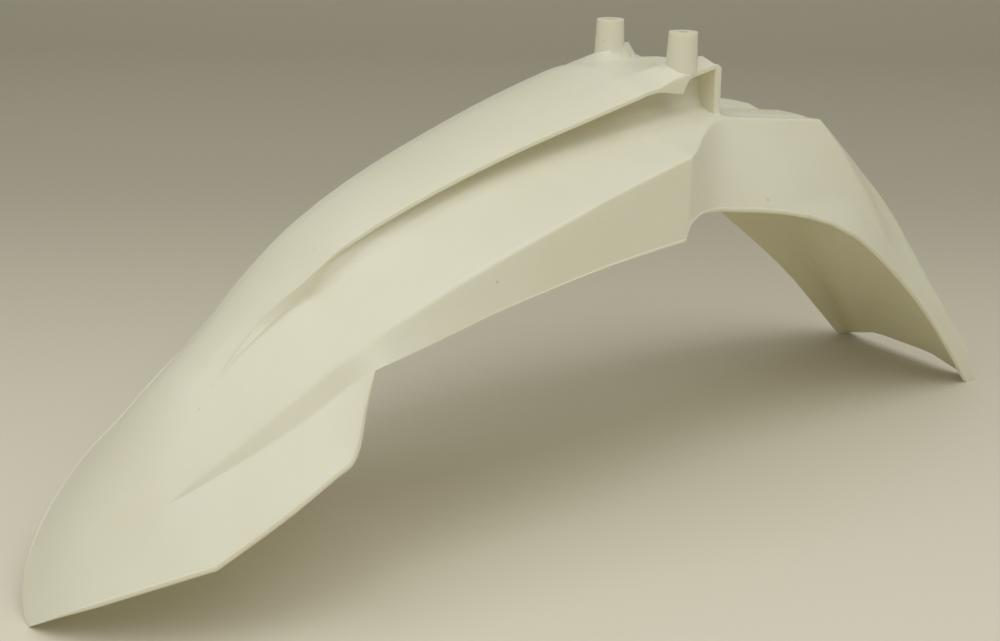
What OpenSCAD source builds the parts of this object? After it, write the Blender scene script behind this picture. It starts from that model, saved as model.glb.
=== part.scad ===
// Front mudguard of an off-road motorcycle, one injection moulding.
// It is laid out from the nose tip on the ground: X across, Y to the rear, Z up.
// Every "_y" size is a distance behind the nose tip, and every "_h" a height above the ground
// unless its comment names another.
// The finished part is then shifted, so that its origin lies midway between the two post tops.

/* [Shell] */
// Wall of the moulding
wall_t = 2.6; // [2:0.2:3.6]
// Length on the ground, from the nose tip to the heels of the tail
guard_l = 773; // [750:1:800]
// Rounding of the outer edge along the rim
rim_r = 1.2; // [0.6:0.2:1.6]
// Rounding of the long crease between side panel and skirt
crease_r = 2.4; // [1.6:0.2:5]
// Rounding of the fold in the side of the tail
fold_r = 2.4; // [1.6:0.2:5]
// Width of the bead that stiffens the rim
bead_w = 2.4; // [2:0.2:3]
// How far the bead stands out from the skin
bead_out = 0.6; // [0.4:0.1:1]

/* [Nose] */
// Width where the round nose ends
nose_w = 188; // [176:1:196]
// Length of the round nose
nose_y = 77; // [72:1:86]
// Height of the rim there
nose_h = 56; // [50:1:62]
// Height of the ridge above the point of the side panel
ridge_h = 99; // [94:1:106]

/* [Flares] */
// Width across the rear corners of the flares
flare_w = 220; // [212:1:228]
// Distance of those corners behind the nose tip
flare_y = 155; // [146:1:158]
// Height of those corners
flare_h = 107; // [100:1:112]

/* [Side panels] */
// Width across the front points of the side panels
point_w = 100; // [94:1:106]
// Distance of those points behind the nose tip
point_y = 68; // [62:1:70]
// Height of those points
point_h = 78; // [74:1:82]
// Width across the rear ends of the creases
crease_w = 202; // [194:1:210]
// Height of the crease at its rear end
crease_h = 242.4; // [236:1:246]

/* [Skirts] */
// Width at the notch where the flare turns into the skirt
notch_w = 170; // [162:1:176]
// Distance of the notch behind the nose tip
notch_y = 183; // [176:1:188]
// Height of the notch
notch_h = 144; // [139:1:149]
// Width across the rear ends of the skirts
skirt_w = 200; // [192:1:206]
// Distance of the rear end of the skirts behind the nose tip
skirt_y = 400; // [392:1:404]
// Height of the rear lower corner of the skirts
skirt_h = 187.3; // [180:1:192]

/* [Hood] */
// Distance of the front end of the hood's step behind the nose tip
hood_y = 112; // [106:1:118]
// Width of the hood at that end
hood_front_w = 53; // [48:1:58]
// Height of the hood's edge at that end
hood_front_h = 133.5; // [130:1:137]
// Width of the hood at its waist
waist_w = 47; // [42:1:50]
// Width of the hood above the rear end of the skirts
hood_w = 104; // [96:1:110]
// Height of the underside of its lip there
lip_h = 270.3; // [266:1:273]
// Thickness of the lip
lip_t = 3; // [2:0.5:4]
// Rise of the hood's middle over its edges
crown_h = 6.5; // [4:0.5:9]

/* [Recess under the hood] */
// Width across the two root walls
root_w = 60; // [56:1:64]
// Distance of the front end of the recess behind the nose tip
recess_y = 174; // [170:1:180]
// Height of the recess floor at the root, above the rear ends of the skirts
recess_h = 252; // [248:1:256]
// Fillet between root wall and side panel
root_r = 26; // [10:1:30]

/* [Fork seat] */
// Height of the seat between the pads
seat_h = 284; // [281:0.5:287]
// Width of the seat
seat_w = 92; // [88:1:96]
// Rise of the two pads over the seat
pad_rise = 7; // [3:0.5:8]
// Distance between the two posts, centre to centre
post_gap = 74.4; // [70:0.2:78]
// Distance from the posts' centres to the rear wall's rear face
post_inset = 28.8; // [26:0.1:31]
// Height of the posts' top faces above the seat between the pads
post_h = 23.8; // [14:0.2:32]
// Diameter of a post at its top
post_d = 19; // [16:0.5:20]
// Diameter of a post at the pad
post_base_d = 21.4; // [18:0.2:23]
// Bolt hole through each post
post_bolt_d = 6.6; // [5:0.2:8.6]
// Depth of the tab that hangs from the hood beside each post
tab_drop = 4; // [0:0.5:6]

/* [Rear wall] */
// Length of the seat, from the rear ends of the skirts to the wall's rear face
seat_l = 75.5; // [74:0.5:80]
// Thickness of the wall at its top
back_t = 5; // [4:0.5:6]
// Rounding of the wall's top edge
back_r = 6; // [3:0.5:7]

/* [Deck] */
// Width of the deck
deck_w = 110; // [104:1:114]
// Height of the deck at the wall
deck_h = 251.5; // [248:0.5:254]
// Fall of the deck from the wall to the crest
deck_fall = 11; // [6:0.5:15]
// Length of the deck, from the wall's rear face to the crest
deck_l = 90.5; // [82:0.5:96]
// Width across the raised middle of the deck
ramp_w = 82; // [76:1:86]
// Depth of the valley along the middle of the deck
valley_d = 3; // [1:0.5:4]
// Distance between the two deck bolts
deck_bolt_gap = 55; // [46:1:62]
// Distance of the deck bolts from the wall's rear face
deck_bolt_l = 44.5; // [30:0.5:60]
// Bolt hole in the deck
deck_bolt_d = 6.6; // [5:0.2:8.6]
// Width across the rim below the deck
box_w = 172; // [166:1:178]
// Height of that rim where the fork relief begins
box_h = 197; // [192:1:202]

/* [Tail] */
// Narrowest width of the tail plate
tail_waist_w = 100; // [94:1:106]
// Width of the tail across its heels
tail_w = 140; // [132:1:148]
// Height of the arch between the two heels
heel_arch_h = 14; // [6:1:18]
// Depth of the side flange at the heels
heel_d = 14; // [10:1:18]

/* [Hidden] */
// The two bolt holes and the posts are true cylinders
round_fn = 32;
// Smallest distance kept between two neighbouring rows of the skin
row_gap = 0.35;
// Room that a bore's cutter takes beyond the skin
bore_room = 12;
// Reach of the tab's end before the post's centre, and run of the step behind it
tab_gap = 6.7;
tab_step = 4.5;
// Distance before the tab's end at which the pads begin
pad_lead = 22;
// Fall of the hood's rim beside the seat below the seat's middle, where the pads begin
rim_fall = 5;
back_y = skirt_y + seat_l;
post_y = back_y - post_inset;
post_top_h = seat_h + post_h;
crest_y = back_y + deck_l;
deck_bolt_y = back_y + deck_bolt_l;
plastic = [0.90, 0.88, 0.81];

// Curves through a few knots

function smooth(a, b, v) = let (t = min(1, max(0, (v - a) / (b - a)))) t * t * (3 - 2 * t);
function ramp(a, b, v) = min(1, max(0, (v - a) / (b - a)));
function mix(a, b, t) = a + (b - a) * t;
function unit(v) = v / norm(v);
function bezier(a, b, c, t) = a * (1 - t) * (1 - t) + b * 2 * t * (1 - t) + c * t * t;

// Knot between two corner points, by its shares of their distance along X, Y and Z
function knot(a, b, f) = [for (i = [0:2]) a[i] + (b[i] - a[i]) * f[i]];

// Slope of the chord after knot i, and of the curve at knot i, per unit of the knots' component c
function chord(k, c, i) = (k[i + 1] - k[i]) / (k[i + 1][c] - k[i][c]);
function inner_slope(k, c, i) =
    let (h0 = k[i][c] - k[i - 1][c], h1 = k[i + 1][c] - k[i][c])
    (chord(k, c, i - 1) * h1 + chord(k, c, i) * h0) / (h0 + h1);
function slope(k, c, i) =
    let (n = len(k) - 1)
    n == 1 ? chord(k, c, 0)
    : i == 0 ? (3 * chord(k, c, 0) - inner_slope(k, c, 1)) / 2
    : i == n ? (3 * chord(k, c, n - 1) - inner_slope(k, c, n - 1)) / 2
    : inner_slope(k, c, i);

// Smooth curve through knots k, read at value v of component c
function curve(k, v, c = 1) =
    let (
        i = max(0, min(len(k) - 2, len([for (p = k) if (p[c] <= v) 1]) - 1)),
        h = k[i + 1][c] - k[i][c],
        t = min(1, max(0, (v - k[i][c]) / h))
    )
    k[i] * (1 + 2 * t) * (1 - t) * (1 - t) + slope(k, c, i) * h * t * (1 - t) * (1 - t)
    + k[i + 1] * t * t * (3 - 2 * t) - slope(k, c, i + 1) * h * t * t * (1 - t);

// Corner points of the skin, right-hand side

nose_pt = [nose_w / 2, nose_y, nose_h];
flare_pt = [flare_w / 2, flare_y, flare_h];
notch_pt = [notch_w / 2, notch_y, notch_h];
skirt_pt = [skirt_w / 2, skirt_y, skirt_h];
relief_pt = [skirt_w / 2, skirt_y + 3, box_h];
panel_pt = [point_w / 2, point_y, point_h];
crease_pt = [crease_w / 2, skirt_y + 1, crease_h];
hood_pt = [hood_front_w / 2, hood_y, hood_front_h];
lip_pt = [hood_w / 2, skirt_y, lip_h];
recess_pt = [root_w / 2, recess_y, mix(hood_front_h, lip_h, 0.3)];
deck_pt = [deck_w / 2, back_y - 4, deck_h + 0.7];
crest_pt = [deck_w / 2, crest_y, deck_h - deck_fall];
heel_pt = [tail_w / 2, guard_l, 0];

// Ridge of the nose: steep at the tip, flatter towards the hood
function nose_ridge(y) = ridge_h * pow(max(0, y) / point_y, 0.72);

// Rim of the nose: round in plan and a shallow V from the front
tip_blunt = 0.12;
function nose_share(y) = pow((y + tip_blunt) / (nose_y + tip_blunt), 0.54);
function nose_rim(y) =
    let (u = nose_share(y), u0 = nose_share(0))
    [nose_pt.x * u, y, nose_pt.z * (u - u0) / (1 - u0)];

// Rim from the nose along flare, notch, skirt, fork relief, box and tail
flare_rim = [nose_pt, knot(nose_pt, flare_pt, [0.29, 0.25, 0.23]),
    knot(nose_pt, flare_pt, [0.67, 0.52, 0.51]),
    knot(nose_pt, flare_pt, [0.93, 0.83, 0.83]), flare_pt + [0, -1.5, -1], flare_pt + [-3, 4, 6],
    knot(flare_pt, notch_pt, [0.52, 0.5, 0.54]), notch_pt];
skirt_rim = [notch_pt, knot(notch_pt, skirt_pt, [0.33, 0.217, 0.286]),
    knot(notch_pt, skirt_pt, [0.6, 0.364, 0.506]), knot(notch_pt, skirt_pt, [0.8, 0.521, 0.677]),
    knot(notch_pt, skirt_pt, [0.93, 0.687, 0.831]), skirt_pt];
tail_run = guard_l - crest_y;
tail_rim_pt = [box_w / 2 + 1, crest_y + 0.2415 * tail_run, 0.68 * box_h];
heel_rim_pt = heel_pt - [0, heel_d, 0];
box_rim_pt = [box_w / 2, mix(skirt_y, crest_y, 0.3916), box_h - 2];
box_rim = [relief_pt, knot(relief_pt, box_rim_pt, [0.43, 0.23, -1.7]),
    knot(relief_pt, box_rim_pt, [0.86, 0.48, -1.2]), box_rim_pt,
    knot(box_rim_pt, tail_rim_pt, [0, 0.36, 0.18]), knot(box_rim_pt, tail_rim_pt, [0, 0.56, 0.33]),
    knot(box_rim_pt, tail_rim_pt, [1, 0.75, 0.56]), tail_rim_pt,
    knot(tail_rim_pt, heel_rim_pt, [0.25, 0.31, 0.27]), knot(tail_rim_pt, heel_rim_pt, [0.57, 0.56, 0.51]),
    knot(tail_rim_pt, heel_rim_pt, [0.77, 0.79, 0.76]), heel_rim_pt];
function rim(y) =
    y < nose_y ? nose_rim(y)
    : y < notch_y ? curve(flare_rim, y)
    : y < skirt_y ? curve(skirt_rim, y)
    : y < relief_pt.y ? mix(skirt_pt, relief_pt, (y - skirt_y) / (relief_pt.y - skirt_y))
    : curve(box_rim, y);

// Crease from the panel's point to the skirt's rear end, round the deck corner and down the tail
panel_crease = [panel_pt, knot(panel_pt, crease_pt, [0.2, 0.143, 0.2]),
    knot(panel_pt, crease_pt, [0.43, 0.318, 0.441]), knot(panel_pt, crease_pt, [0.686, 0.495, 0.636]),
    knot(panel_pt, crease_pt, [0.88, 0.684, 0.8]), knot(panel_pt, crease_pt, [0.98, 0.9, 0.945]), crease_pt];
deck_crease = [crease_pt, knot(crease_pt, deck_pt, [0.13, 0.13, 0.11]),
    knot(crease_pt, deck_pt, [0.565, 0.48, 0.52]), knot(crease_pt, deck_pt, [0.95, 0.88, 0.94]), deck_pt];
tail_mid_pt = [tail_waist_w / 2, crest_y + 0.28 * tail_run, mix(crest_pt.z, 0, 0.194)];
tail_crease = [crest_pt, knot(crest_pt, tail_mid_pt, [0.9, 0.53, 0.49]), tail_mid_pt,
    knot(tail_mid_pt, heel_pt, [0, 0.16, 0.11]), knot(tail_mid_pt, heel_pt, [0.25, 0.295, 0.24]),
    knot(tail_mid_pt, heel_pt, [0.55, 0.443, 0.414]), knot(tail_mid_pt, heel_pt, [0.97, 0.658, 0.635]),
    knot(tail_mid_pt, heel_pt, [1.08, 0.87, 0.835]), heel_pt];
function crease(y) =
    y < crease_pt.y ? curve(panel_crease, y)
    : y < deck_pt.y ? curve(deck_crease, y)
    : y < crest_y ? mix(deck_pt, crest_pt, (y - deck_pt.y) / (crest_y - deck_pt.y))
    : curve(tail_crease, y);

// Foot of the wall between side panel and flare, and the fold in the side of the tail
flare_foot = [panel_pt, knot(panel_pt, notch_pt, [0.4, 0.4, 0.355]),
    knot(panel_pt, notch_pt, [0.63, 0.635, 0.59]), knot(panel_pt, notch_pt, [0.8, 0.887, 0.86]),
    notch_pt + [-0.4, 0, 0.6]];

// Hood edge: soft on the nose, then a step, then a lip over the recess
soft_edge = [panel_pt, knot(panel_pt, hood_pt, [0.51, 0.5, 0.53]), hood_pt];
waist_x = waist_w / 2;
hood_edge = [hood_pt, [waist_x, mix(hood_y, skirt_y, 0.073), mix(hood_front_h, lip_h, 0.147)],
    [waist_x + 1.8, mix(hood_y, skirt_y, 0.127), mix(hood_front_h, lip_h, 0.253)],
    [mix(waist_x, lip_pt.x, 0.21), mix(hood_y, skirt_y, 0.2), mix(hood_front_h, lip_h, 0.361)],
    [mix(waist_x, lip_pt.x, 0.265), mix(hood_y, skirt_y, 0.278), mix(hood_front_h, lip_h, 0.469)],
    [mix(waist_x, lip_pt.x, 0.44), mix(hood_y, skirt_y, 0.41), mix(hood_front_h, lip_h, 0.604)],
    [mix(waist_x, lip_pt.x, 0.68), mix(hood_y, skirt_y, 0.642), mix(hood_front_h, lip_h, 0.785)],
    [mix(waist_x, lip_pt.x, 0.94), mix(hood_y, skirt_y, 0.888), mix(hood_front_h, lip_h, 0.938)], lip_pt];
// Behind the skirts the edge runs level to a tab, then steps up to the pad and rises round it
tab_y = post_y - tab_gap;
pad_y = tab_y - pad_lead;
seat_edge = [lip_pt, [lip_pt.x - 0.5, mix(skirt_y, tab_y, 0.34), lip_h + 2.6],
    [mix(lip_pt.x, seat_w / 2, 0.5), mix(skirt_y, tab_y, 0.75), lip_h + 2.6 - tab_drop * 0.6],
    [mix(lip_pt.x, seat_w / 2, 0.66), tab_y, lip_h + 2.8 - tab_drop]];
pad_edge = [[mix(lip_pt.x, seat_w / 2, 0.66), tab_y + tab_step, seat_h - 6],
    [seat_w / 2, tab_y + 15, seat_h - 4.4],
    [seat_w / 2, back_y - 5, seat_h - 1.2]];
function soft_hood_edge(y) =
    let (
        s = knot([0, y, nose_ridge(y)], nose_rim(y), [0.66, 0, 0.54]),
        v = panel_pt + [-0.1, 1, 1.2] * (y - point_y)
    )
    mix(s, v, smooth(point_y * 0.55, point_y, y));
function edge(y) =
    y < point_y ? soft_hood_edge(y)
    : y < hood_y ? curve(soft_edge, y)
    : y < skirt_y ? curve(hood_edge, y)
    : y < tab_y ? curve(seat_edge, y)
    : y < tab_y + tab_step ? mix(seat_edge[3], pad_edge[0], (y - tab_y) / tab_step)
    : curve(pad_edge, y);

// Top edge of the side panel, which becomes the foot of the root wall
panel_top = [hood_pt + [0.4, 0, -0.6],
    [waist_x + 3.9, mix(hood_y, recess_y, 0.305), mix(hood_front_h, recess_pt.z, 0.375)],
    [waist_x + 4.4, mix(hood_y, recess_y, 0.505), mix(hood_front_h, recess_pt.z, 0.585)],
    [waist_x + 5.3, mix(hood_y, recess_y, 0.75), mix(hood_front_h, recess_pt.z, 0.82)],
    recess_pt + [0, 0, -0.5]];
root_floor = [recess_pt + [0, 0, -0.5],
    knot(recess_pt, [root_w / 2, skirt_y, recess_h], [1, 0.115, 0.215]),
    knot(recess_pt, [root_w / 2, skirt_y, recess_h], [1, 0.29, 0.5]),
    knot(recess_pt, [root_w / 2, skirt_y, recess_h], [1, 0.557, 0.775]),
    [root_w / 2, skirt_y, recess_h], [root_w / 2, back_y - 15, deck_h + 4],
    [root_w / 2, back_y, deck_h + 2.5]];
function root(y) = y < recess_y ? curve(panel_top, max(y, hood_y)) : curve(root_floor, y);

// Ridge of the hood
function lip_thick(y) =
    0.8 * smooth(hood_y - 5, hood_y + 15, y) + (lip_t - 0.8) * smooth(recess_y - 25, recess_y + 25, y);
function crown(y) = mix(mix(8.5, crown_h - 1.5, smooth(hood_y, hood_y + 30, y)), crown_h + 2.5,
    smooth(recess_y, skirt_y, y));
ridge_join = [[0, point_y, ridge_h], [0, mix(point_y, hood_y, 0.5), mix(ridge_h, hood_front_h + 9.3, 0.53)],
    [0, hood_y, hood_front_h + 9.3]];
function ridge(y) =
    y < point_y ? nose_ridge(y)
    : y < hood_y ? curve(ridge_join, y).z
    : mix(edge(min(y, skirt_y)).z + lip_thick(y) + crown(y), seat_h, smooth(skirt_y - 12, skirt_y + 22, y));

// Stations along the guard

function spread(a, b, n) = [for (i = [0:n - 1]) mix(a, b, i / n)];
nose_steps = [for (i = [0:7]) point_y * i * i / 64];
front_y = back_y - back_t;
stations = concat(nose_steps, [point_y], spread(nose_y, hood_y, 3), spread(hood_y, flare_y - 3.5, 5),
    [flare_y - 3.5, flare_y, flare_y + 4], spread(flare_y + 9, recess_y, 2), spread(recess_y, notch_y, 2),
    [notch_y, notch_y + 3], spread(notch_y + 9, skirt_y, 10),
    [skirt_y, skirt_y + 3], spread(skirt_y + 8, tab_y, 4), [tab_y, tab_y + tab_step],
    spread(tab_y + 2 * tab_step, front_y - 1, 4), [front_y - 1, front_y - 0.3, front_y + 0.4 * back_t],
    [back_y - 1.2, back_y - 0.5, back_y + 0.1, back_y + 9], spread(back_y + 26, crest_y - 2, 3),
    [crest_y - 2, crest_y], spread(crest_y + 2, guard_l - 20, 10), [guard_l - 20, guard_l - 9, guard_l]);

// In the tail the side rows run ahead of the plate's row at the same station, or behind it
side_lead = 0.072 * tail_run;
function side_lag(s) =
    s < crest_y ? side_lead * smooth(back_y, crest_y, s)
    : mix(side_lead, -heel_d, smooth(crest_y, crest_y + 0.386 * tail_run, s));
function fold_bulge(s) = smooth(back_y, crest_y, s) * (1 - smooth(crest_y, crest_y + 0.338 * tail_run, s));

// Fold in the tail's side. Each knot is given by the station, and by its place along, across and down
// as shares: along and station of the tail's run, across of the box's half width, down of the crest's height.
box_end = crest_y - 0.2415 * tail_run;
function fold_knot(station, across, along, down) =
    [crest_y + station * tail_run, across * box_w / 2, crest_y + along * tail_run, mix(crest_pt.z, 0, down)];
tail_fold = [concat([box_end], mix(rim(box_end), crease(box_end), 0.1)),
    fold_knot(0, 0.8256, 0.145, 0.262), fold_knot(0.116, 0.8953, 0.2512, 0.36),
    fold_knot(0.2415, 0.8721, 0.3575, 0.435), fold_knot(0.3623, 0.8605, 0.4638, 0.515),
    fold_knot(0.6473, 0.8663, 0.686, 0.665), fold_knot(0.855, 0.8372, 0.8357, 0.84),
    concat([guard_l], heel_pt + [0.4, -heel_d * 0.4, 0])];
function fold(s) = let (p = curve(tail_fold, s, 0)) [p[1], p[2], p[3]];

// Corner points of the section at station s: rim e, fold or wall foot w, crease k
function e_pt(s) = rim(min(s + side_lag(s), heel_rim_pt.y));
function k_pt(s) =
    s < point_y ? mix(edge(s), nose_rim(s), mix(0.33, 0.012, smooth(0, point_y, s)))
    : s < notch_y ? crease(s) + [row_gap, 0, -row_gap * 0.5] * (1 - ramp(point_y, notch_y, s))
    : crease(s);
function w_pt(s) =
    s < point_y ? mix(edge(s), nose_rim(s), mix(0.66, 0.024, smooth(0, point_y, s)))
    : s < notch_y ? curve(flare_foot, s) + [2 * row_gap, 0, -row_gap] * (1 - ramp(point_y, notch_y, s))
    : s < box_end ? mix(e_pt(s), k_pt(s), mix(0.03, 0.1, smooth(notch_y, notch_y + 60, s)))
    : fold(s);

// Height of the hood's top at x, with the pads beside the seat
hood_shares = [0.28, 0.54, 0.62, 0.84];
deck_shares = [0.07, 0.37, 0.67, 0.85];
function pad_share(s) = smooth(pad_y, pad_y + 7, s);
function round_drop(s) =
    let (d = min(back_r, max(0, min(s, back_y - 0.4) - back_y + back_r)))
    back_r - sqrt(back_r * back_r - d * d);
function seat_rim(s) = edge(min(s, pad_y)).z + lip_thick(s);
function pad_rim(s) = seat_h - rim_fall + 0.15 * (s - pad_y - 6);
function edge_top(s) = mix(seat_rim(s), pad_rim(s), pad_share(s));
function seat_top(s, x) = mix(ridge(s), seat_rim(s), pow(min(1, x / edge(s).x), 2)) - round_drop(s);
// A pad rises round each post; behind the post its inner side runs out to the seat's corner
function pad_side(s) = mix(post_gap / 2 - 11, seat_w / 2 - 4, ramp(post_y + 10, back_y - 2, s));
function pad_top(s, x) =
    let (high = seat_h + mix(0.3, pad_rise, ramp(pad_y + 6, post_y + 10, s)))
    mix(high, pad_rim(s), smooth(post_gap / 2 - 1, seat_w / 2, x)) - round_drop(s);
function hood_top(s, x) =
    mix(seat_top(s, x), pad_top(s, x), pad_share(s) * smooth(pad_side(s) - 2, pad_side(s) + 2, x));

// Point of the deck or of the tail plate at x; the plate's end is arched up between its heels
function heel_lift(s, x) =
    smooth(guard_l - 0.1932 * tail_run, guard_l, s) * heel_arch_h * 0.57
    * (1 - smooth(0.629 * heel_pt.x, 0.914 * heel_pt.x, x));
function camber(s, x) =
    -(valley_d * (1 - smooth(3, 15, x)) + 0.8 * smooth(ramp_w / 2 - 0.5, ramp_w / 2 + 0.5, x))
    * smooth(back_y, back_y + 12, s) * (1 - smooth(crest_y, guard_l - 0.29 * tail_run, s));
function deck_at(s, x) = let (y = s - heel_lift(s, x)) [x, y, crease(y).z + camber(s, x)];

// Nine rows over the hood's edge: a soft rounding on the nose, then the step, the lip and the recess
function fillet_leg(s) = let (r = root(s)) min(root_r, 0.8 * max(0, ceiling(s) - r.z));
function fillet_reach(s) =
    let (run = norm(k_pt(s) - root(s)))
    max(3 * row_gap, min(1.5 * fillet_leg(s), 0.5 * run));
function ceiling(s) =
    let (r = root(s), l = edge(s), under = seat_top(s, r.x) - lip_thick(s))
    max(r.z + 2 * row_gap, mix(r.z + 0.3 * (l.z - r.z), under, smooth(recess_y, recess_y + 12, s)));
function lip_rows(s) =
    let (
        l = edge(s), k = k_pt(s), r = root(s), leg = fillet_leg(s),
        top = edge_top(s) - round_drop(s), foot = r + [0, 0, max(leg, row_gap)],
        out = r + unit(k - r) * fillet_reach(s)
    )
    [[l.x - 1, s, top], [l.x, s, mix(l.z, top, 0.87)], [l.x, s, mix(l.z, top, 0.1)],
        [l.x - 0.5 * smooth(recess_y, recess_y + 8, s), s, l.z], [r.x, s, ceiling(s)], foot,
        bezier(foot, r, out, 0.35), bezier(foot, r, out, 0.67), out];
function soft_rows(s) =
    let (
        l = edge(s), k = k_pt(s), inboard = [l.x * 0.75, s, hood_top(s, l.x * 0.75)],
        reach = min(14, l.x * 0.3) * (1 - smooth(hood_y - 30, hood_y + 4, s)) + 2 * ramp(0, hood_y, s),
        reach_out = min(reach, 0.45 * norm(k - l))
    )
    [for (i = [0:8]) bezier(l + unit(inboard - l) * reach, l, l + unit(k - l) * reach_out, i / 8)];

// The same rows down the side of the rear wall, and across the deck behind it
function wall_rows(s) =
    let (x = seat_w / 2, top = edge_top(s) - round_drop(s), low = crease(s).z)
    concat([[x - 1, s, top]], [for (i = [0:3]) [x, s, mix(top - 0.6, low + 6, i / 3)]],
        [[x, s, low + 4], [x + 0.5, s, low + 1.5], [x + 1.6, s, low + 0.5], [x + 4, s, low]]);
function deck_rows(s) =
    let (near = 1 - smooth(back_y, back_y + 20, s),
        x = mix(ramp_w / 2, seat_w / 2 - 1, near) * crease(s).x / crest_pt.x)
    [for (i = [0:8]) deck_at(s, x + 0.5 * i)];

// Outer half section from the ridge to the rim
function outer(s) =
    let (
        k = k_pt(s), w = w_pt(s), e = e_pt(s), bulge = fold_bulge(s),
        soft = 1 - smooth(hood_y - 8, hood_y + 8, s),
        side = s > back_y ? deck_rows(s) : s > front_y - 0.5 ? wall_rows(s)
            : mix(lip_rows(s), soft_rows(s), soft),
        x_end = side[0].x,
        shares = mix(hood_shares, deck_shares, smooth(back_y, back_y + 20, s)),
        top = [for (f = concat([0], shares)) s > back_y ? deck_at(s, x_end * f)
            : [x_end * f, s, mix(hood_top(s, x_end * f), mix(ridge(s), side[0].z, f * f), soft)]],
        p = side[8],
        m1 = mix(k, w, 0.34) + [0, 8, 0] * bulge,
        m2 = mix(k, w, 0.68) + [0, 9, 0] * bulge,
        rk = min(crease_r, 0.35 * norm(k - p), 0.3 * norm(w - k)),
        ka = k + unit(p - k) * rk,
        kb = k + unit(m1 - k) * rk,
        rw = min(fold_r, 0.3 * norm(w - m2), 0.35 * norm(e - w)),
        wa = w + unit(m2 - w) * rw,
        wb = w + unit(e - w) * rw,
        rr = min(rim_r, 0.3 * norm(w - e)),
        up = unit(w - e),
        n = rim_normal(s),
        flat = end_cut(s),
        bw = min(bead_w, 0.4 * norm(w - e)),
        bo = bead_out * smooth(1.5, 5, norm(w - e)) * (1 - flat),
        foot = e + up * (bw + bo)
    )
    s == 0 ? [for (i = [0:28]) [e.x * i / 28, 0, 0]]
    : concat(top, side, [mix(p, k, 0.3), mix(p, k, 0.6), ka, bezier(ka, k, kb, 0.5), kb, m1, m2,
        wa, bezier(wa, w, wb, 0.5), wb, mix(wb, foot, 0.5), foot, e + up * bw + n * bo,
        e + up * rr + n * bo, skin_under(e + n * bo, n, n, rr, flat)]);

// Normal of a skin that runs along a across the guard and along t to the rear
function normal(a, t) = unit(cross(a, t));
function rim_run(s) = e_pt(s + 0.5) - e_pt(max(0, s - 0.5));
function crease_run(s) = k_pt(s + 0.5) - k_pt(max(0, s - 0.5));
function rim_normal(s) =
    let (flare = normal(e_pt(s) - w_pt(s), rim_run(s)), side = normal(e_pt(s) - k_pt(s), crease_run(s)))
    s < flare_y ? flare
    : s < notch_y ? unit(mix(flare, side, smooth(flare_y, notch_y - 3, s)))
    : s < box_end ? side
    : flare;

// How far the cut through the wall lies level, at the tip of the nose and under the heels
function end_cut(s) = max(1 - smooth(0, 30, s), smooth(guard_l - 40, guard_l - 2, s));

// Point d under the corner p of two skins with normals na and nb
function skin_under(p, na, nb, d, flat = 0) =
    let (m = (na + nb) / (1 + na * nb), c = [m.x, m.y, m.z * (1 - flat)])
    p - c * (d / (c * na));

// Inner half section, in the same direction
function inner_top(s) =
    let (
        x_end = root(s).x - wall_t, t = [0, 1, ridge(s + 0.5) - ridge(s - 0.5)],
        rim_x = min(edge(s).x, root_w / 2), l = [rim_x, s, seat_top(s, rim_x)], r = root(s), k = k_pt(s),
        down = mix(unit(k - l), [0, 0, -1], smooth(hood_y, recess_y + 10, s)),
        t_edge = l_run(s),
        n_hood = normal([1, 0, (seat_top(s, rim_x) - seat_top(s, rim_x - 3)) / 3], t_edge),
        n_down = normal(down, t_edge), n_panel = normal(k - r, crease_run(s)),
        si = skin_under(l, n_hood, n_down, wall_t), ri = skin_under(r, n_down, n_panel, wall_t),
        tops = [for (f = [0, 0.35, 0.7])
            let (x = si.x * f,
                g = (seat_top(s, x + 1) - seat_top(s, max(0, x - 1))) / (x < 1 ? 1 + x : 2),
                n_top = normal([1, 0, x == 0 ? 0 : g], t))
            skin_under([x, s, seat_top(s, x)], n_top, n_top, wall_t)]
    )
    concat(tops, [si, ri + [0, 0, 0.5 * fillet_leg(s)], ri + unit(k - r) * (0.5 * fillet_reach(s) + row_gap)]);
function l_run(s) =
    let (a = min(edge(s + 0.5).x, root_w / 2), b = min(edge(s - 0.5).x, root_w / 2))
    [a - b, 1, seat_top(s + 0.5, a) - seat_top(s - 0.5, b)];
function inner_soft(s) =
    let (
        o = outer(s), l = edge(s), k = k_pt(s), e = e_pt(s),
        a = max(0, s - 0.5), run_c = [0, s + 0.5 - a, ridge(s + 0.5) - ridge(a)],
        run_l = edge(s + 0.5) - edge(a),
        n_c = normal([1, 0, 0], run_c), n_1 = normal(o[2] - o[1], mix(run_c, run_l, 0.35)),
        n_2 = normal(o[4] - o[3], mix(run_c, run_l, 0.7)), n_in = normal(l - o[3], run_l),
        n_out = normal(e - l, mix(run_l, rim_run(s), 0.5)),
        flat = end_cut(s), si = skin_under(l, n_in, n_out, wall_t, flat)
    )
    [skin_under(o[0], n_c, n_c, wall_t, flat), skin_under(mix(o[1], o[2], 0.3), n_1, n_1, wall_t, flat),
        skin_under(o[3], n_2, n_2, wall_t, flat), si, mix(si, k_in(s), 0.12), mix(si, k_in(s), 0.3)];
function k_in(s) =
    let (k = k_pt(s), w = w_pt(s), e = e_pt(s),
        p = s < hood_y ? edge(s) : s < back_y ? root(s) : [0, s, k.z],
        n_all = normal(e - p, mix(crease_run(s), rim_run(s), 0.5)), tall = smooth(3, 9, norm(w - k)))
    s < notch_y ? mix(skin_under(k, n_all, n_all, wall_t, end_cut(s)),
        skin_under(k, normal(k - p, crease_run(s)), normal(w - k, crease_run(s)), wall_t, end_cut(s)), tall)
    : skin_under(k, normal(k - p, crease_run(s)), normal(w - k, crease_run(s)), wall_t, end_cut(s));
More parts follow.
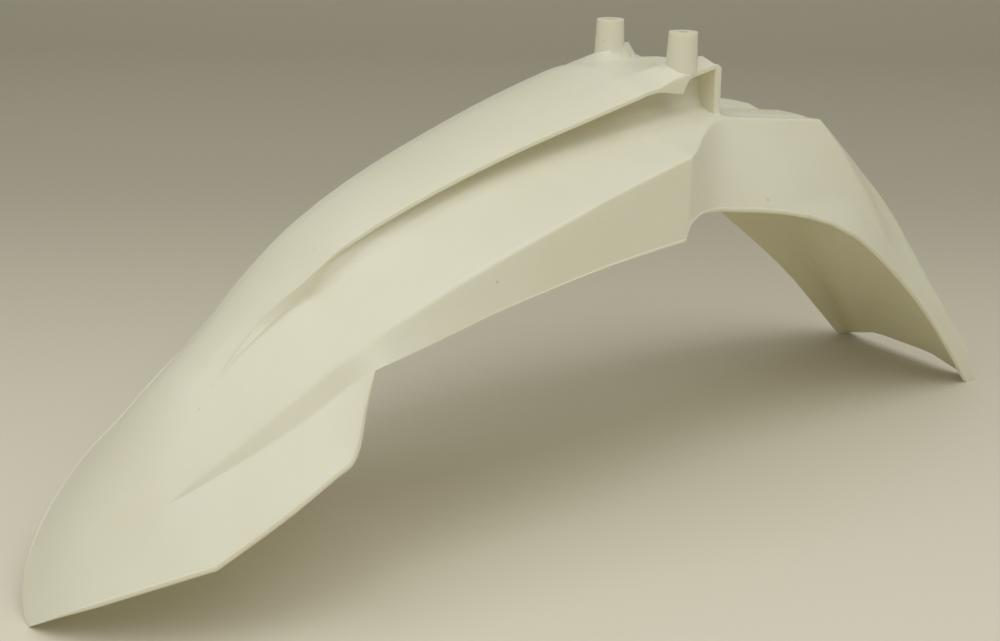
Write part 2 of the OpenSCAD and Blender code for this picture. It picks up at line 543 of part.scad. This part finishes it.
function w_in(s) =
    let (k = k_pt(s), w = w_pt(s), e = e_pt(s), p = s < hood_y ? edge(s) : root(min(s, back_y)),
        run = w_pt(s + 0.5) - w_pt(max(0, s - 0.5)),
        n_all = normal(e - p, mix(crease_run(s), rim_run(s), 0.5)), tall = smooth(3, 9, norm(w - k)))
    s < notch_y ? mix(skin_under(w, n_all, n_all, wall_t, end_cut(s)),
        skin_under(w, normal(w - k, run), rim_normal(s), wall_t, end_cut(s)), tall)
    : skin_under(w, normal(w - k, run), rim_normal(s), wall_t, end_cut(s));
function under_deck(s) =
    let (t = [0, 1, crease(s + 0.5).z - crease(s - 0.5).z], n = normal([1, 0, 0], t),
        x_end = min(root_w / 2 - wall_t, k_pt(s).x - 10))
    [for (f = [0, 0.35, 0.7, 1, 1.02, 1.06]) skin_under(deck_at(s, x_end * f), n, n, wall_t, end_cut(s))];
function inner(s) =
    let (
        top = s > front_y + 0.1 ? under_deck(s)
            : mix(inner_top(max(s, hood_y - 20)), inner_soft(s), 1 - smooth(hood_y - 8, hood_y + 8, s)),
        e = e_pt(s), l = edge(min(s, skirt_y)), span = e - l,
        ei = skin_under(e, rim_normal(s), rim_normal(s), wall_t, end_cut(s)),
        on_line = 1 - smooth(point_y, point_y + 30, s),
        ki = mix(k_in(s), mix(top[3], ei, (k_pt(s) - l) * span / (span * span)), on_line),
        wi = mix(w_in(s), mix(top[3], ei, (w_pt(s) - l) * span / (span * span)), on_line),
        foot = s < hood_y + 8 ? mix(top[3], ki, 0.24) : top[4],
        shelf = s < hood_y + 8 ? mix(top[3], ki, 0.5) : top[5]
    )
    s == 0 ? [for (i = [0:9]) [0.85 * e.x * i / 9, 1.15 * wall_t, 0]]
    : [top[0], top[1], top[2], top[3], foot, shelf, mix(shelf, ki, 0.5), ki, wi, ei];

// The skin: one closed ring of points at each station, joined ring to ring
function flip(p) = [-p.x, p.y, p.z];
function ring(s) =
    let (o = outer(s), i = inner(s), n = len(o), m = len(i))
    concat(o, [for (j = [m - 1:-1:0]) i[j]], [for (j = [1:m - 1]) flip(i[j])],
        [for (j = [n - 1:-1:1]) flip(o[j])]);
// Inner row that faces each outer row, used to close the two ends
facing = [0, 0, 1, 1, 2, 3, 3, 3, 3, 3, 4, 4, 5, 5, 6, 6, 7, 7, 7, 7, 8, 8, 8, 8, 9, 9, 9, 9, 9];
n_out = len(facing);
n_in = facing[n_out - 1] + 1;
n_ring = 2 * (n_out + n_in) - 2;
function inner_id(j) = n_out + n_in - 1 - j;
function mirror_id(j) = j == 0 || j == inner_id(0) ? j : n_ring - j;
function cap() =
    let (half = concat(
        [for (i = [0:n_out - 2]) [i, i + 1, inner_id(facing[i])]],
        [for (i = [0:n_out - 2]) if (facing[i + 1] > facing[i])
            [i + 1, inner_id(facing[i + 1]), inner_id(facing[i])]]))
    concat(half, [for (f = half) [mirror_id(f[0]), mirror_id(f[2]), mirror_id(f[1])]]);
function shifted(f, base, turn) = [f[0] + base, f[turn ? 2 : 1] + base, f[turn ? 1 : 2] + base];

module skin() {
    rings = [for (s = stations) ring(s)];
    last = (len(stations) - 1) * n_ring;
    sides = [for (i = [0:len(stations) - 2]) for (j = [0:n_ring - 1])
        let (a = i * n_ring + j, b = i * n_ring + (j + 1) % n_ring, c = b + n_ring, d = a + n_ring)
        each j < n_ring / 2 ? [[a, c, b], [a, d, c]] : [[a, d, b], [b, d, c]]];
    faces = concat([for (f = cap()) shifted(f, 0, false)], sides, [for (f = cap()) shifted(f, last, true)]);
    polyhedron(points = [for (r = rings) each r], faces = faces, convexity = 10);
}

module post(x) {
    foot_h = seat_h - 3;
    translate([x, post_y, foot_h])
        cylinder(d1 = post_base_d, d2 = post_d, h = post_top_h - foot_h, $fn = round_fn);
}

module bolt_hole(x, y, d, low, top) {
    translate([x, y, low])
        cylinder(d = d, h = top - low, $fn = round_fn);
}

module mudguard() {
    color(plastic)
        translate([0, -post_y, -post_top_h])
            difference() {
                union() {
                    skin();
                    for (x = [-post_gap / 2, post_gap / 2])
                        post(x);
                }
                for (x = [-post_gap / 2, post_gap / 2])
                    bolt_hole(x, post_y, post_bolt_d, seat_h - bore_room, post_top_h + 1);
                for (x = [-deck_bolt_gap / 2, deck_bolt_gap / 2])
                    bolt_hole(x, deck_bolt_y, deck_bolt_d, deck_h - bore_room - deck_fall, deck_h + bore_room);
            }
}

mudguard();
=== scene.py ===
import math

import bmesh
import bpy
from mathutils import Matrix, Vector


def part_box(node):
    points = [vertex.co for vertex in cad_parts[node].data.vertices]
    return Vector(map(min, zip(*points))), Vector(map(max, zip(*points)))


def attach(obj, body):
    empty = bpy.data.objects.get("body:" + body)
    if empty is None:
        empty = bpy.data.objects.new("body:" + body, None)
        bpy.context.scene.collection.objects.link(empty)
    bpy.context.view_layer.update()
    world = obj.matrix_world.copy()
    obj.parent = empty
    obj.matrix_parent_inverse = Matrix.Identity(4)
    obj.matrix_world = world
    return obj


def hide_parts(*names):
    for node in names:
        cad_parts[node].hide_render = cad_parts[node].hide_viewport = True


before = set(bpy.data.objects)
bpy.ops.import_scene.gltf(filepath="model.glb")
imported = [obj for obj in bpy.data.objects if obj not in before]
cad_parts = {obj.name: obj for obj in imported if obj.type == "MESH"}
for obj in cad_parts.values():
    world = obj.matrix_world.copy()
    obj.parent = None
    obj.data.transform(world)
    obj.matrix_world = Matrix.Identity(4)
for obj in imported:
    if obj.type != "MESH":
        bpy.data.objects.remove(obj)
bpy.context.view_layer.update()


# Camera. It stands to the front left of the guard, a little above it, as the photographer did.
# Its place is measured from the nose tip, where the guard touches the ground.
view_turn = math.radians(54.47)
view_pitch = math.radians(19.81)
view_roll = math.radians(0.72)
film_width_mm = 36
lens_mm = 48.7
nose_to_camera = Vector((0.6979, -0.1694, 0.4283))

guard_low = Vector(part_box("mudguard")[0])
nose_tip = Vector((0, guard_low.y, guard_low.z))
across = Vector((math.cos(view_turn), math.sin(view_turn), 0))
backward = Vector((math.sin(view_turn) * math.cos(view_pitch),
                   -math.cos(view_turn) * math.cos(view_pitch),
                   math.sin(view_pitch)))
upward = backward.cross(across)
rolled_across = across * math.cos(view_roll) + upward * math.sin(view_roll)
rolled_upward = backward.cross(rolled_across)

camera = bpy.data.objects.new("camera", bpy.data.cameras.new("camera"))
bpy.context.collection.objects.link(camera)
camera.data.sensor_width = film_width_mm
camera.data.lens = lens_mm
camera_place = Matrix((rolled_across, rolled_upward, backward)).transposed().to_4x4()
camera_place.translation = nose_tip + nose_to_camera
camera.matrix_world = camera_place
bpy.context.scene.camera = camera


# The guard's skin. The real one is a single injection moulding, with crisp creases and blended ones.
# It takes over the moulded solid's own surface: triangles are joined into the faces they came from,
# broad faces shade true, and the narrow ones along each blended crease carry the rounding.
def moulded_skin(solid, weld_distance, flat_within, square_within, sharpest_bend):
    skin = bmesh.new()
    skin.from_mesh(solid.data)
    bmesh.ops.remove_doubles(skin, verts=skin.verts, dist=weld_distance)
    bmesh.ops.join_triangles(skin, faces=skin.faces, angle_face_threshold=flat_within,
                             angle_shape_threshold=square_within)
    for edge in skin.edges:
        edge.smooth = not edge.is_manifold or edge.calc_face_angle() < sharpest_bend
    for face in skin.faces:
        face.smooth = True
    mesh = bpy.data.meshes.new("guard_skin")
    skin.to_mesh(mesh)
    skin.free()
    return bpy.data.objects.new("guard_skin", mesh)


guard = moulded_skin(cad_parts["mudguard"], weld_distance=0.00002, flat_within=math.radians(8),
                     square_within=math.radians(60), sharpest_bend=math.radians(38))
bpy.context.collection.objects.link(guard)
broad_faces = guard.modifiers.new("broad_faces_stay_true", "WEIGHTED_NORMAL")
broad_faces.keep_sharp = True


# Its plastic: polypropylene moulded against a fine satin tool and dyed off-white in the mass.
# The eye sees a soft gloss over a slightly milky body, a faint flow waviness, a fine tool grain,
# dull handling marks and a few specks of dirt.
def linear(hex_colour):
    values = [int(hex_colour[i:i + 2], 16) / 255 for i in (1, 3, 5)]
    return [v / 12.92 if v <= 0.04045 else ((v + 0.055) / 1.055) ** 2.4 for v in values] + [1]


# Settings and links go to the node's inputs, and a name that starts with a dot is one of its properties
def add_node(tree, kind, settings=None, links=None):
    made = tree.nodes.new(kind)
    for name, value in (settings or {}).items():
        if isinstance(name, str) and name.startswith("."):
            setattr(made, name[1:], value)
        else:
            made.inputs[name].default_value = value
    for name, source in (links or {}).items():
        tree.links.new(source, made.inputs[name])
    return made


# The Mix node's sockets when it mixes colours: its three kinds of value share their names
first_colour, second_colour, mixed_colour = 6, 7, 2

polypropylene = bpy.data.materials.new("moulded_polypropylene")
polypropylene.use_nodes = True
tree = polypropylene.node_tree
plastic = tree.nodes["Principled BSDF"]
plastic.inputs["IOR"].default_value = 1.49
place_on_guard = add_node(tree, "ShaderNodeTexCoord").outputs["Object"]

# Milky body: light wanders a few millimetres in it, red the farthest
plastic.inputs["Subsurface Weight"].default_value = 0.45
plastic.inputs["Subsurface Radius"].default_value = (0.006, 0.005, 0.0026)
plastic.inputs["Subsurface Scale"].default_value = 1.0

# Dye that flowed unevenly: clouds about 90 mm across, hardly visible
clouds_per_metre = 11
clouds = add_node(tree, "ShaderNodeTexNoise", {"Scale": clouds_per_metre, "Detail": 2, "Roughness": 0.5},
                  {"Vector": place_on_guard})
body_colour = add_node(tree, "ShaderNodeValToRGB", links={"Fac": clouds.outputs["Fac"]})
for stop, position, colour in zip(body_colour.color_ramp.elements, (0.3, 0.7), ("#E6E2CB", "#EBE8D3")):
    stop.position = position
    stop.color = linear(colour)

# Specks of dirt: a point every 26 mm in space, drawn where it comes within half a millimetre of the skin,
# and three larger ones, each given by its place and radius in metres
dirt_points_per_metre = 38
larger_specks = (((0.0914, -0.1854, -0.1237), 0.0011),
                 ((0.0817, 0.0444, -0.1097), 0.0013),
                 ((0.0269, 0.2913, -0.2601), 0.0011))
dirt_points = add_node(tree, "ShaderNodeTexVoronoi", {"Scale": dirt_points_per_metre, "Randomness": 1.0},
                       {"Vector": place_on_guard})
dirt = add_node(tree, "ShaderNodeMapRange",
                {"From Min": 0.012, "From Max": 0.022, "To Min": 0.45, "To Max": 0.0},
                {"Value": dirt_points.outputs["Distance"]}).outputs["Result"]
for spot, radius in larger_specks:
    away = add_node(tree, "ShaderNodeVectorMath", {".operation": "DISTANCE", 1: spot}, {0: place_on_guard})
    speck = add_node(tree, "ShaderNodeMapRange",
                     {"From Min": radius * 0.4, "From Max": radius, "To Min": 0.35, "To Max": 0.0},
                     {"Value": away.outputs["Value"]})
    dirt = add_node(tree, "ShaderNodeMath", {".operation": "MAXIMUM"},
                    {0: dirt, 1: speck.outputs["Result"]}).outputs["Value"]
soiled = add_node(tree, "ShaderNodeMix", {".data_type": "RGBA", second_colour: linear("#7B715C")},
                  {"Factor": dirt, first_colour: body_colour.outputs["Color"]})
tree.links.new(soiled.outputs[mixed_colour], plastic.inputs["Base Color"])

# Gloss: satin, a little duller in patches about 30 mm wide where the guard was handled
patches_per_metre = 34
handling = add_node(tree, "ShaderNodeTexNoise", {"Scale": patches_per_metre, "Detail": 4, "Roughness": 0.6},
                    {"Vector": place_on_guard})
gloss = add_node(tree, "ShaderNodeMapRange",
                 {"From Min": 0.3, "From Max": 0.7, "To Min": 0.33, "To Max": 0.41},
                 {"Value": handling.outputs["Fac"]})
tree.links.new(gloss.outputs["Result"], plastic.inputs["Roughness"])

# Relief: flow waves about 60 mm long, and the tool's grain, drawn at 1.2 mm so that it shows
waves_per_metre = 16
grains_per_metre = 830
waves = add_node(tree, "ShaderNodeTexNoise", {"Scale": waves_per_metre, "Detail": 1, "Roughness": 0.4},
                 {"Vector": place_on_guard})
wavy = add_node(tree, "ShaderNodeBump", {"Strength": 0.25, "Distance": 0.0006},
                {"Height": waves.outputs["Fac"]})
grain = add_node(tree, "ShaderNodeTexNoise", {"Scale": grains_per_metre, "Detail": 2, "Roughness": 0.5},
                 {"Vector": place_on_guard})
grained = add_node(tree, "ShaderNodeBump", {"Strength": 0.12, "Distance": 0.00006},
                   {"Height": grain.outputs["Fac"], "Normal": wavy.outputs["Normal"]})
tree.links.new(grained.outputs["Normal"], plastic.inputs["Normal"])

guard.data.materials.append(polypropylene)
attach(guard, "root")
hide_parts("mudguard")


# Studio floor and backdrop: one sweep of pale matt paper that rises behind the guard.
# Painted shade: the paper's colour is lighter under the guard and a tone darker behind it, standing in for
# the light falling off away from the lamps.
paper_reach = 14.0
bend_start = 1.9
bend_r = 1.1
paper_top = 4.0
painted_shade_from = -0.35
painted_shade_full_at = 0.85

bend = [math.radians(turned) for turned in range(9, 91, 9)]
profile = [(-paper_reach, 0.0), (bend_start, 0.0)]
profile += [(bend_start + bend_r * math.sin(a), bend_r - bend_r * math.cos(a)) for a in bend]
profile += [(bend_start + bend_r, paper_top)]
sweep = bmesh.new()
corners = [sweep.verts.new((-paper_reach, y, z)) for y, z in profile]
for near, far in zip(corners, corners[1:]):
    sweep.edges.new((near, far))
drawn = bmesh.ops.extrude_edge_only(sweep, edges=sweep.edges)["geom"]
bmesh.ops.translate(sweep, verts=[v for v in drawn if isinstance(v, bmesh.types.BMVert)],
                    vec=(2 * paper_reach, 0, 0))
bmesh.ops.transform(sweep, matrix=Matrix.Rotation(view_turn, 4, "Z"), verts=sweep.verts)
bmesh.ops.translate(sweep, verts=sweep.verts, vec=(0, 0, guard_low.z))
bmesh.ops.recalc_face_normals(sweep, faces=sweep.faces)
paper_mesh = bpy.data.meshes.new("paper_sweep")
sweep.to_mesh(paper_mesh)
sweep.free()
for face in paper_mesh.polygons:
    face.use_smooth = True
paper = bpy.data.objects.new("paper_sweep", paper_mesh)
bpy.context.collection.objects.link(paper)

matt_paper = bpy.data.materials.new("matt_paper")
matt_paper.use_nodes = True
tree = matt_paper.node_tree
place_on_paper = add_node(tree, "ShaderNodeTexCoord").outputs["Object"]
# Painted shade: the paper's colour fades from its own pale tone to a darker one with distance from the
# camera, in place of real light falloff
away_from_camera = (-math.sin(view_turn), math.cos(view_turn), 0)
depth = add_node(tree, "ShaderNodeVectorMath", {".operation": "DOT_PRODUCT", 1: away_from_camera},
                 {0: place_on_paper})
painted_falloff = add_node(tree, "ShaderNodeMapRange",
                  {".interpolation_type": "SMOOTHSTEP", "From Min": painted_shade_from, "From Max": painted_shade_full_at},
                  {"Value": depth.outputs["Value"]})
paper_and_painted_falloff = add_node(tree, "ShaderNodeMix",
                        {".data_type": "RGBA", first_colour: linear("#E9E3CE"),
                         second_colour: linear("#BFB9A3")},
                        {"Factor": painted_falloff.outputs["Result"]})
fibres = tree.nodes["Principled BSDF"]
fibres.inputs["Roughness"].default_value = 0.9
tree.links.new(paper_and_painted_falloff.outputs[mixed_colour], fibres.inputs["Base Color"])
paper.data.materials.append(matt_paper)


# Studio light: two large softboxes above the guard, one towards its nose and one towards its left side,
# and an even fill from the room
softbox_width = 2.4
softbox_distance = 2.8
guard_middle = Vector((0, -0.05, -0.15))


def softbox(name, watts, towards):
    lamp = bpy.data.objects.new(name, bpy.data.lights.new(name, "AREA"))
    lamp.data.size = softbox_width
    lamp.data.energy = watts
    lamp.data.color = linear("#FDFDFF")[:3]
    aim = Vector(towards).normalized()
    lamp_place = aim.to_track_quat("Z", "Y").to_matrix().to_4x4()
    lamp_place.translation = guard_middle + aim * softbox_distance
    lamp.matrix_world = lamp_place
    bpy.context.collection.objects.link(lamp)


softbox("nose_softbox", watts=22.5, towards=(0.05, -0.55, 0.83))
softbox("side_softbox", watts=25, towards=(0.5, 0, 0.87))
room = bpy.data.worlds.new("room")
room.use_nodes = True
room_light = room.node_tree.nodes["Background"]
room_light.inputs["Color"].default_value = linear("#FAFAF6")
room_light.inputs["Strength"].default_value = 0.38
bpy.context.scene.world = room
bpy.context.scene.view_settings.view_transform = "Standard"
